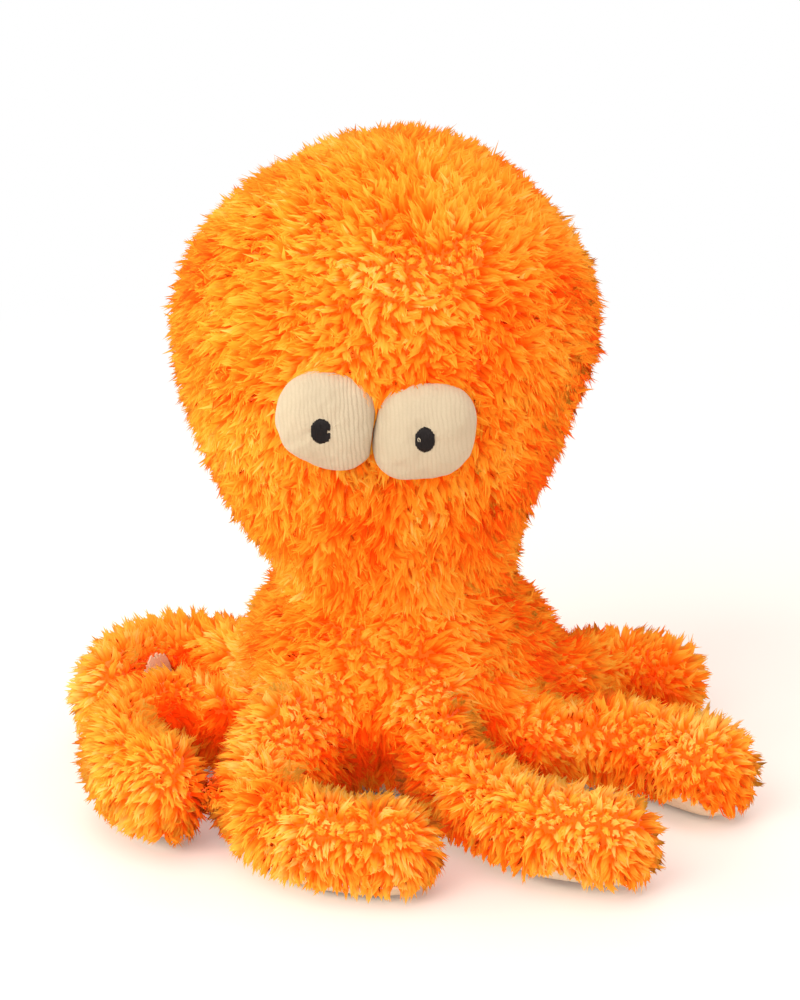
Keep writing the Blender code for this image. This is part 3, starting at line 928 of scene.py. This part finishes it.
def growPile(name, at, up, seen, combing, seed, short, upright=1.0, tint=0.0):
    # a strand from each root, drawn towards the others of its lock; tint is painted light, paler pile on the arms
    random = np.random.default_rng(seed)
    count = len(at)
    patch = ripple(at, pile["patch"], 11)
    patchLean = ripple(at, pile["patch"] * 1.3, 12)
    comb = turned(combing(at, up), up, np.radians(pile["patchTurn"]) * patch)
    sway = np.clip(1 + pile["patchSway"] * patchLean, *pile["patchSways"]) * upright
    fine = random.uniform(0, 1, count) < pile["fine"]
    lengths = pile["length"] * np.where(fine, pile["fineLength"], 1) * short
    lengths = lengths * varied(random, pile["lengths"], count)

    lockCount = max(1, count // pile["locks"])
    locks = random.choice(count, lockCount, replace=False)
    tree = treeOf(at[locks])
    mine = np.array([tree.find(p)[1] for p in at])
    lockTurn = np.radians(random.normal(0, pile["lockTurn"], lockCount))
    lockComb = turned(comb[locks], up[locks], lockTurn)
    lockSway = sway[locks] * varied(random, pile["lockSway"], lockCount)
    lockLength = pile["length"] * short[locks] * varied(random, pile["lockLength"], lockCount)
    lockLines = strandLines(at[locks], up[locks], lockComb, lockLength, lockSway)
    bow = np.cross(up[locks], lockComb) * (random.normal(0, pile["lockBow"], lockCount) * lockLength)[:, None]
    for j, t in enumerate(stations):
        lockLines[:, j] += bow * t * t

    ownTurn = np.radians(random.normal(0, pile["ownTurn"], count))
    ownSway = sway * random.uniform(*pile["ownSway"], count)
    lines = strandLines(at, up, turned(comb, up, ownTurn), lengths, ownSway)
    pull = random.uniform(*pile["lockPull"], lockCount)[mine]
    reach = random.uniform(*pile["lockReach"], count)
    for j, t in enumerate(stations):
        share = (pull * smoothStep(t * 1.15))[:, None]
        target = lockLines[mine, j]
        if t > 0:
            target = lockLines[mine, 0] + (target - lockLines[mine, 0]) * reach[:, None]
        lines[:, j] = lines[:, j] * (1 - share) + target * share
        lines[:, j] += random.normal(0, pile["frizz"], (count, 3)) * t ** 1.5
    floor = pile["floor"] + random.uniform(0, pile["floorSpread"], (count, 1))
    lines[:, :, 2] = np.maximum(lines[:, :, 2], floor)
    lines = clearOfEyes(lines)

    lockTone = random.normal(0, pile["lockToneSpread"], lockCount)[mine]
    tone = toneOf(at, seen, tint) + lockTone + random.normal(0, pile["toneSpread"], count)
    tone = np.clip(tone, *pile["toneEnds"])
    width = pile["width"] * random.uniform(*pile["widths"], count) * np.where(fine, pile["fineWidth"], 1)
    return strandMesh(name, lines, up, unit(seen[:, 2:]), width, tone)


def strandMesh(name, lines, up, lit, width, tone):
    # one mesh of all the strands, each a copy of the template along its line
    count, points = len(lines), len(strandAlong)
    tangent = np.gradient(lines, axis=1)
    tangent = tangent / np.maximum(np.linalg.norm(tangent, axis=2, keepdims=True), 1e-12)
    side = np.cross(up[:, None, :], tangent)
    side = side / np.maximum(np.linalg.norm(side, axis=2, keepdims=True), 1e-9)
    top = np.cross(tangent, side)
    taper = np.interp(stations, *zip(*pile["outline"]))
    half = width[:, None] / 2 * taper[None, :]
    co = np.empty((count, points, 3))
    own = np.empty((count, points, 3))
    for k in range(points):
        j = stationOf[k]
        across = strandAcross[k]
        co[:, k] = (
            lines[:, j]
            + side[:, j] * (across[0] * half[:, j])[:, None]
            + top[:, j] * (across[1] * pile["ridge"] * half[:, j])[:, None]
        )
        own[:, k] = side[:, j] * across[0] + top[:, j] * across[1] + 1e-9
    faces = (strandFaces[None] + (np.arange(count) * points)[:, None, None]).reshape(-1, 3)
    mesh = bpy.data.meshes.new(name)
    mesh.vertices.add(count * points)
    mesh.vertices.foreach_set("co", co.ravel().astype(np.float32))
    mesh.loops.add(len(faces) * 3)
    mesh.loops.foreach_set("vertex_index", faces.ravel().astype(np.int32))
    mesh.polygons.add(len(faces))
    mesh.polygons.foreach_set("loop_start", np.arange(0, len(faces) * 3, 3, dtype=np.int32))
    mesh.polygons.foreach_set("loop_total", np.full(len(faces), 3, np.int32))
    mesh.update(calc_edges=True)
    mesh.validate()

    layer = mesh.uv_layers.new(name="OFBake")
    corner = strandFaces.ravel()
    u = tone[:, None] + pile["tones"] * 0.5 * strandAcross[corner, 0][None, :]
    reach = pile["mapReach"] - 2 * pile["mapEdge"]
    v = np.broadcast_to(pile["mapEdge"] + reach * strandAlong[corner][None, :], u.shape)
    layer.data.foreach_set("uv", np.stack([u, v], axis=2).ravel().astype(np.float32))
    mesh.polygons.foreach_set("use_smooth", np.ones(len(faces), bool))
    own = own / np.maximum(np.linalg.norm(own, axis=2, keepdims=True), 1e-9)
    facing = own * (1 - pile["softShade"]) + lit[:, None, :] * pile["softShade"]
    mesh.normals_split_custom_set_from_vertices(facing.reshape(-1, 3))
    strands = newPiece(name, mesh)
    strands.visible_shadow = False      # the backing under them casts the shadow
    return strands


eye = {
    # from the middle of each pad to its edge, all round from the picture's right, counted upwards
    "radii": {
        "left": (15.4, 17.0, 15.1, 15.2, 16.0, 16.8, 17.0, 17.5, 17.0, 16.0, 15.9, 15.9, 16.0, 17.2, 19.3, 15.8),
        "right": (16.9, 17.7, 17.8, 16.9, 15.7, 15.6, 17.1, 16.3, 15.9, 18.2, 18.8, 16.6, 15.8, 15.9, 16.0, 16.3),
    },
    "shift": {"left": (0.0016, -0.0006, 0.0022), "right": (-0.0005, -0.0006, 0.0029)},
    "waves": 5,              # how many waves round the rim the outline is made of
    "round": 2.3,            # 2 is an ellipsoid, more is fuller at the rim
    "segments": (120, 60),
    "start": 1.025,          # size before the filling swells it
    "pressure": 4,
    "cap": 0.0004,
    "relax": 5,
    "wrinkle": 0.00022,      # height and size of the wrinkles where the fabric gathers at the rim
    "wrinkleSize": 0.005,
    "wrinkleFrom": 0.55,
    "creaseGap": 0.0001,
    "over": 0.0004,          # pile lies this far off the pad
}


class Pad:
    def __init__(self, side):
        low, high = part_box(f"eye_{side}_cover")
        self.side = side
        self.middle = np.array((low + high) / 2) + np.array(eye["shift"][side])
        self.deep = float(high[1] - low[1]) / 2
        radii = np.array(eye["radii"][side]) / 1000
        turns = np.fft.rfft(radii) / len(radii)
        self.waves = [(k, turns[k] * (1 if k == 0 else 2)) for k in range(eye["waves"])]

    def radius(self, x, z):
        angle = np.arctan2(z, x)
        return sum(np.real(amount * np.exp(1j * k * angle)) for k, amount in self.waves)

    def reach(self, points):
        # 1 on the pad's surface, less inside
        away = points - self.middle
        flat = np.hypot(away[:, 0], away[:, 2]) / self.radius(away[:, 0], away[:, 2])
        power = eye["round"]
        return (flat ** power + np.abs(away[:, 1] / self.deep) ** power) ** (1 / power)


pads = {side: Pad(side) for side in ("left", "right")}
creaseAt = np.array((-0.0073, -0.072, 0.146))           # the plane along which the pads press on each other
creaseNormal = np.array((0.992, 0.0, -0.126))


def insideEyes(points, grow):
    inside = np.zeros(len(points), bool)
    for pad in pads.values():
        inside |= pad.reach(points) < 1 + grow / pad.deep
    return inside


def clearOfEyes(lines):
    # pushes what would lie in an eye pad out to its surface
    for j in range(1, lines.shape[1]):
        for pad in pads.values():
            reach = pad.reach(lines[:, j])
            inside = reach < 1 + eye["over"] / pad.deep
            away = lines[inside, j] - pad.middle
            lines[inside, j] = pad.middle + away * ((1 + eye["over"] / pad.deep) / reach[inside])[:, None]
    return lines


filling = {"frames": 20, "quality": 4, "mass": 0.15}


def puffed(piece, pressure, cap, loose=0.0):
    # the filling swells the cover: Blender's own cloth, with each point held near where it began
    scene = bpy.context.scene
    began = np.array([v.co for v in piece.data.vertices])
    cloth = piece.modifiers.new("Cloth", "CLOTH")
    cloth.settings.quality = filling["quality"]
    cloth.settings.mass = filling["mass"]
    cloth.settings.shrink_min = -loose
    cloth.settings.use_pressure = True
    cloth.settings.uniform_pressure_force = pressure
    cloth.settings.effector_weights.gravity = 0
    for step in range(1, filling["frames"] + 1):
        scene.frame_set(step)
    finished(piece)
    scene.frame_set(1)
    now = np.array([v.co for v in piece.data.vertices])
    moved = now - began
    far = np.linalg.norm(moved, axis=1)
    share = np.minimum(1, cap / np.maximum(far, 1e-9))
    now = began + moved * share[:, None]
    piece.data.vertices.foreach_set("co", now.ravel())
    piece.data.update()
    mean, most = far.mean() * 1000, far.max() * 1000
    print(f"{piece.name}: filled, {mean:.2f} mm on average, {most:.2f} mm at most, capped at {cap * 1000:.1f} mm")
    return piece


def makePad(pad):
    # a crowned pad with its own outline, filled, relaxed and pressed flat against the other one
    bm = bmesh.new()
    bmesh.ops.create_uvsphere(bm, u_segments=eye["segments"][0], v_segments=eye["segments"][1], radius=1)
    bmesh.ops.rotate(bm, verts=bm.verts, cent=(0, 0, 0), matrix=Matrix.Rotation(math.pi / 2, 3, "X"))
    unitPoints = np.array([v.co for v in bm.verts])
    reach = pad.reach(pad.middle + unitPoints * 0.01)
    spots = pad.middle + unitPoints * (0.01 * eye["start"] / reach)[:, None]
    rim = smoothStep((np.hypot(unitPoints[:, 0], unitPoints[:, 2]) - eye["wrinkleFrom"]) / 0.4)
    wrinkles = eye["wrinkle"] * ripple(spots, eye["wrinkleSize"], 31 + len(pad.side)) * rim
    spots += unitPoints * wrinkles[:, None]
    for vert, spot in zip(bm.verts, spots):
        vert.co = spot
    for face in bm.faces:
        face.smooth = True
    piece = newPiece(f"eye_{pad.side}_pad", meshOf(bm, "pad"))
    puffed(piece, eye["pressure"], eye["cap"], loose=0.01)
    bm = bmesh.new()
    bm.from_mesh(piece.data)
    smoothed(bm, bm.verts, eye["relax"])
    bm.to_mesh(piece.data)
    bm.free()
    now = np.array([v.co for v in piece.data.vertices])
    way = creaseNormal if pad.side == "left" else -creaseNormal
    past = (now - (creaseAt - way * eye["creaseGap"])) @ way
    now -= way * np.maximum(past, 0)[:, None]
    piece.data.vertices.foreach_set("co", now.ravel())
    piece.data.update()
    return piece


pupil = {
    "threads": 12,
    "thick": 0.00088,
    "rise": 0.00045,         # how far a stitch arches off the pad
    "sunk": 0.0002,
    "steps": 10,
    "sides": 8,
    "edge": 0.95,            # how far across the rows reach before they get short
    "spread": 0.9,
    "shake": 0.00003,
    "notch": {"left": (10, 11), "right": ()},
    "notchSpans": ((-1.15, -0.30), (0.18, 1.1)),
    "loop": {"left": None, "right": (-0.0018, 0.0004, 0.0004, 0.0008)},     # place and half size
    "loopSteps": 14,
    "loopTurn": (-60, 300),
    "loopOff": 0.0012,
    "loopThick": 0.00009,
}


def tube(bm, path, radius, sides):
    # a closed thread along a path, rounded off at both ends
    rings = []
    for k, spot in enumerate(path):
        ahead = path[min(k + 1, len(path) - 1)] - path[max(k - 1, 0)]
        turn = Vector(ahead).to_track_quat("Z", "Y").to_matrix().to_4x4()
        end = min(k, len(path) - 1 - k)
        scale = radius * (0.7, 1.0)[min(end, 1)]
        ring = bmesh.ops.create_circle(
            bm, cap_ends=False, segments=sides, radius=scale, matrix=Matrix.Translation(Vector(spot)) @ turn,
        )["verts"]
        rings.append(ring)
    edges = {edge for ring in rings for vert in ring for edge in vert.link_edges}
    bmesh.ops.bridge_loops(bm, edges=list(edges))
    for ring in (rings[0], rings[-1]):
        bm.faces.new(ring)
    return rings


def addTube(bm, path, radius, sides, slot=0):
    thread = bmesh.new()
    tube(thread, path, radius, sides)
    bmesh.ops.recalc_face_normals(thread, faces=thread.faces)
    for face in thread.faces:
        face.smooth = True
        face.material_index = slot
    mesh = meshOf(thread, "thread")
    bm.from_mesh(mesh)
    bpy.data.meshes.remove(mesh)


def makePupil(pad, surface):
    # upright rows of raised stitches, and a small pale oval loop on one of them
    least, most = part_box(f"eye_{pad.side}_pupil")
    middle, half = (least + most) / 2, (most - least) / 2
    tree = BVHTree.FromObject(surface, bpy.context.evaluated_depsgraph_get())
    random = np.random.default_rng(41 + len(pad.side))
    bm = bmesh.new()

    def onPad(x, z, off):
        hit, normal, _, _ = tree.ray_cast(Vector((x, -0.2, z)), Vector((0, 1, 0)))
        return np.array(hit + normal * off)

    count = pupil["threads"]
    for k in range(count):
        across = (k + 0.5) / count * 2 - 1
        tall = half[2] * math.sqrt(1 - (pupil["edge"] * across) ** 2) * random.uniform(0.97, 1.03)
        spans = pupil["notchSpans"] if k in pupil["notch"][pad.side] else ((-1, 1),)
        for low, high in spans:
            start, end = low * tall, high * tall
            path = []
            steps = pupil["steps"]
            for j in range(steps + 1):
                share = j / steps
                x = middle[0] + across * half[0] * pupil["spread"] + random.normal(0, pupil["shake"])
                z = middle[2] + start + (end - start) * share
                arch = math.sin(math.pi * share) ** 0.5 if 0 < share < 1 else 0
                crown = arch * math.sqrt(1 - 0.6 * across ** 2)
                path.append(onPad(x, z, pupil["rise"] * crown - pupil["sunk"]))
            addTube(bm, path, pupil["thick"] / 2, pupil["sides"])
    loop = pupil["loop"][pad.side]
    if loop:
        path = []
        first, turn = pupil["loopTurn"]
        for j in range(pupil["loopSteps"] + 1):
            angle = math.radians(first + turn * j / pupil["loopSteps"])
            x = middle[0] + loop[0] + loop[2] * math.cos(angle)
            z = middle[2] + loop[1] + loop[3] * math.sin(angle)
            path.append(onPad(x, z, pupil["loopOff"]))
        addTube(bm, path, pupil["loopThick"], 6, 1)
    return newPiece(f"eye_{pad.side}_stitch", meshOf(bm, "stitch"))


pileFinish = makePileFinish()
# painted shade: the backing is a deep red-orange, for the shade where it shows between the strands
backingFinish = makeKnitFinish("pile_backing", (1.0, 0.19, 0.008), (0.94, 0.12, 0.004), 0.8)
napFinish = makeNapFinish()
knitFinish = makeKnitFinish("cream_knit", knit["light"], knit["dark"])
threadFinish = makeThreadFinish()
paleLoopFinish = makeKnitFinish("pale_thread", (0.80, 0.70, 0.52), (0.70, 0.60, 0.42), 0.2)

form = softForm()
parts = cutForm(form)
openness = opennessOf(form)
print("pieces of the form:", {key: len(faces) for key, faces in sorted(parts.items())})


def facesOf(faces, inwards):
    # a copy of some faces as a mesh of their own, moved in by the pile's depth
    piece = bmesh.new()
    known = {}
    for face in faces:
        corners = []
        for vert in face.verts:
            if vert not in known:
                known[vert] = piece.verts.new(vert.co - vert.normal * (depthAt(vert.co) if inwards else 0))
            corners.append(known[vert])
        piece.faces.new(corners)
    return piece


def arraysOf(faces):
    # points, triangles, normals and what is seen, of the backing under some faces
    known, points, corners, normals, sight = {}, [], [], [], []
    for face in faces:
        ids = []
        for vert in face.verts:
            if vert not in known:
                known[vert] = len(points)
                points.append(vert.co - vert.normal * (depthAt(vert.co) + pile["sunk"]))
                normals.append(vert.normal.copy())
                sight.append(openness[vert])
            ids.append(known[vert])
        for k in range(1, len(ids) - 1):
            corners.append((ids[0], ids[k], ids[k + 1]))
    return np.array(points), np.array(corners), np.array(normals), np.array(sight)


def bendNeck(piece):
    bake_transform(piece)


def bendArm(piece):
    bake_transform(piece)


def seamShort(at):
    # the pile is shorter near the seam with a sole
    high = smoothStep((at[:, 2] - skin["seamHeight"]) / skin["seamRise"])
    return pile["seamShort"] + (1 - pile["seamShort"]) * high


def fringeShort(at, name):
    # and beside a place where the sole shows
    least, over = pile["fringeShort"]
    return least + (1 - least) * smoothStep((turnedReach(at, name) - 1) / over)


def dressPile(piece, node, bender):
    piece.data.materials.append(pileFinish)
    bender(piece)
    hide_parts(node)
    print(piece.name, len(piece.data.polygons), "triangles")


def makeCloth(key, name, finish, inwards, bender):
    # a thin wall of cloth along some faces of the form
    cloth = newPiece(name, meshOf(facesOf(parts[key], inwards), name))
    wall = cloth.modifiers.new("Wall", "SOLIDIFY")
    wall.thickness = skin["wall"]
    wall.offset = -1
    finished(cloth)
    cloth.data.materials.append(finish)
    bender(cloth)
    return cloth


at, up, seen = scatter(*arraysOf(parts["head"]), np.random.default_rng(1))
keep = ~insideEyes(at, -pile["underEye"])
at, up, seen = at[keep], up[keep], seen[keep]
turn = math.radians(pile["goreTurn"])
acrossFace = at[:, 0] * math.cos(turn) + at[:, 1] * math.sin(turn)
alongFace = -at[:, 0] * math.sin(turn) + at[:, 1] * math.cos(turn)
for k, (name, mask) in enumerate({
    "head_gore_front_left": (acrossFace < 0) & (alongFace < 0),
    "head_gore_front_right": (acrossFace >= 0) & (alongFace < 0),
    "head_gore_back_left": (acrossFace < 0) & (alongFace >= 0),
    "head_gore_back_right": (acrossFace >= 0) & (alongFace >= 0),
}.items()):
    short = np.ones(mask.sum())
    piece = growPile(name + "_pile", at[mask], up[mask], seen[mask], combHead, 100 + k, short)
    dressPile(piece, name, bendNeck)
backing = makeCloth("head", "head_backing", backingFinish, True, bendNeck)
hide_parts("head_stuffing")

at, up, seen = scatter(*arraysOf(parts["body_cover"]), np.random.default_rng(2))
piece = growPile("body_pile", at, up, seen, combBody, 200, seamShort(at))
dressPile(piece, "body_cover", bendNeck)
backing = makeCloth("body_cover", "body_backing", backingFinish, True, bendNeck)
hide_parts("body_stuffing")
base = makeCloth("base_panel", "base_cloth", napFinish, False, lambda made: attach(made, "body"))
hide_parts("base_panel")

for k, name in enumerate(armNames):
    def bender(made):
        bendArm(made)

    at, up, seen = scatter(*arraysOf(parts[name + "_cover"]), np.random.default_rng(10 + k))
    keep = turnedReach(at, name) > pile["fringe"]
    at, up, seen = at[keep], up[keep], seen[keep]
    short = seamShort(at) * fringeShort(at, name) * pile["armShort"]
    piece = growPile(
        name + "_pile", at, up, seen, combArm(name), 300 + k, short, pile["armUpright"], pile["armTone"],
    )
    dressPile(piece, name + "_cover", bender)
    backing = makeCloth(name + "_cover", name + "_backing", backingFinish, True, bender)
    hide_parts(name + "_stuffing")
    sole = makeCloth(name + "_sole", name + "_sole_cloth", napFinish, False, bender)
    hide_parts(name + "_sole")

for side, pad in pads.items():
    piece = makePad(pad)
    piece.data.materials.append(knitFinish)
    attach(piece, "head")
    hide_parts(f"eye_{side}_cover", f"eye_{side}_stuffing")
    stitch = makePupil(pad, piece)
    stitch.data.materials.append(threadFinish)
    stitch.data.materials.append(paleLoopFinish)
    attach(stitch, "head")
    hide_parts(f"eye_{side}_pupil")
    print(piece.name, len(piece.data.polygons), "faces,", stitch.name, len(stitch.data.polygons), "faces")

form.free()

makeFloor()
makeLights()
makeCamera()
bpy.context.scene.view_settings.view_transform = "Standard"
print("floor,", len(light["lamps"]), "lamps and camera set")
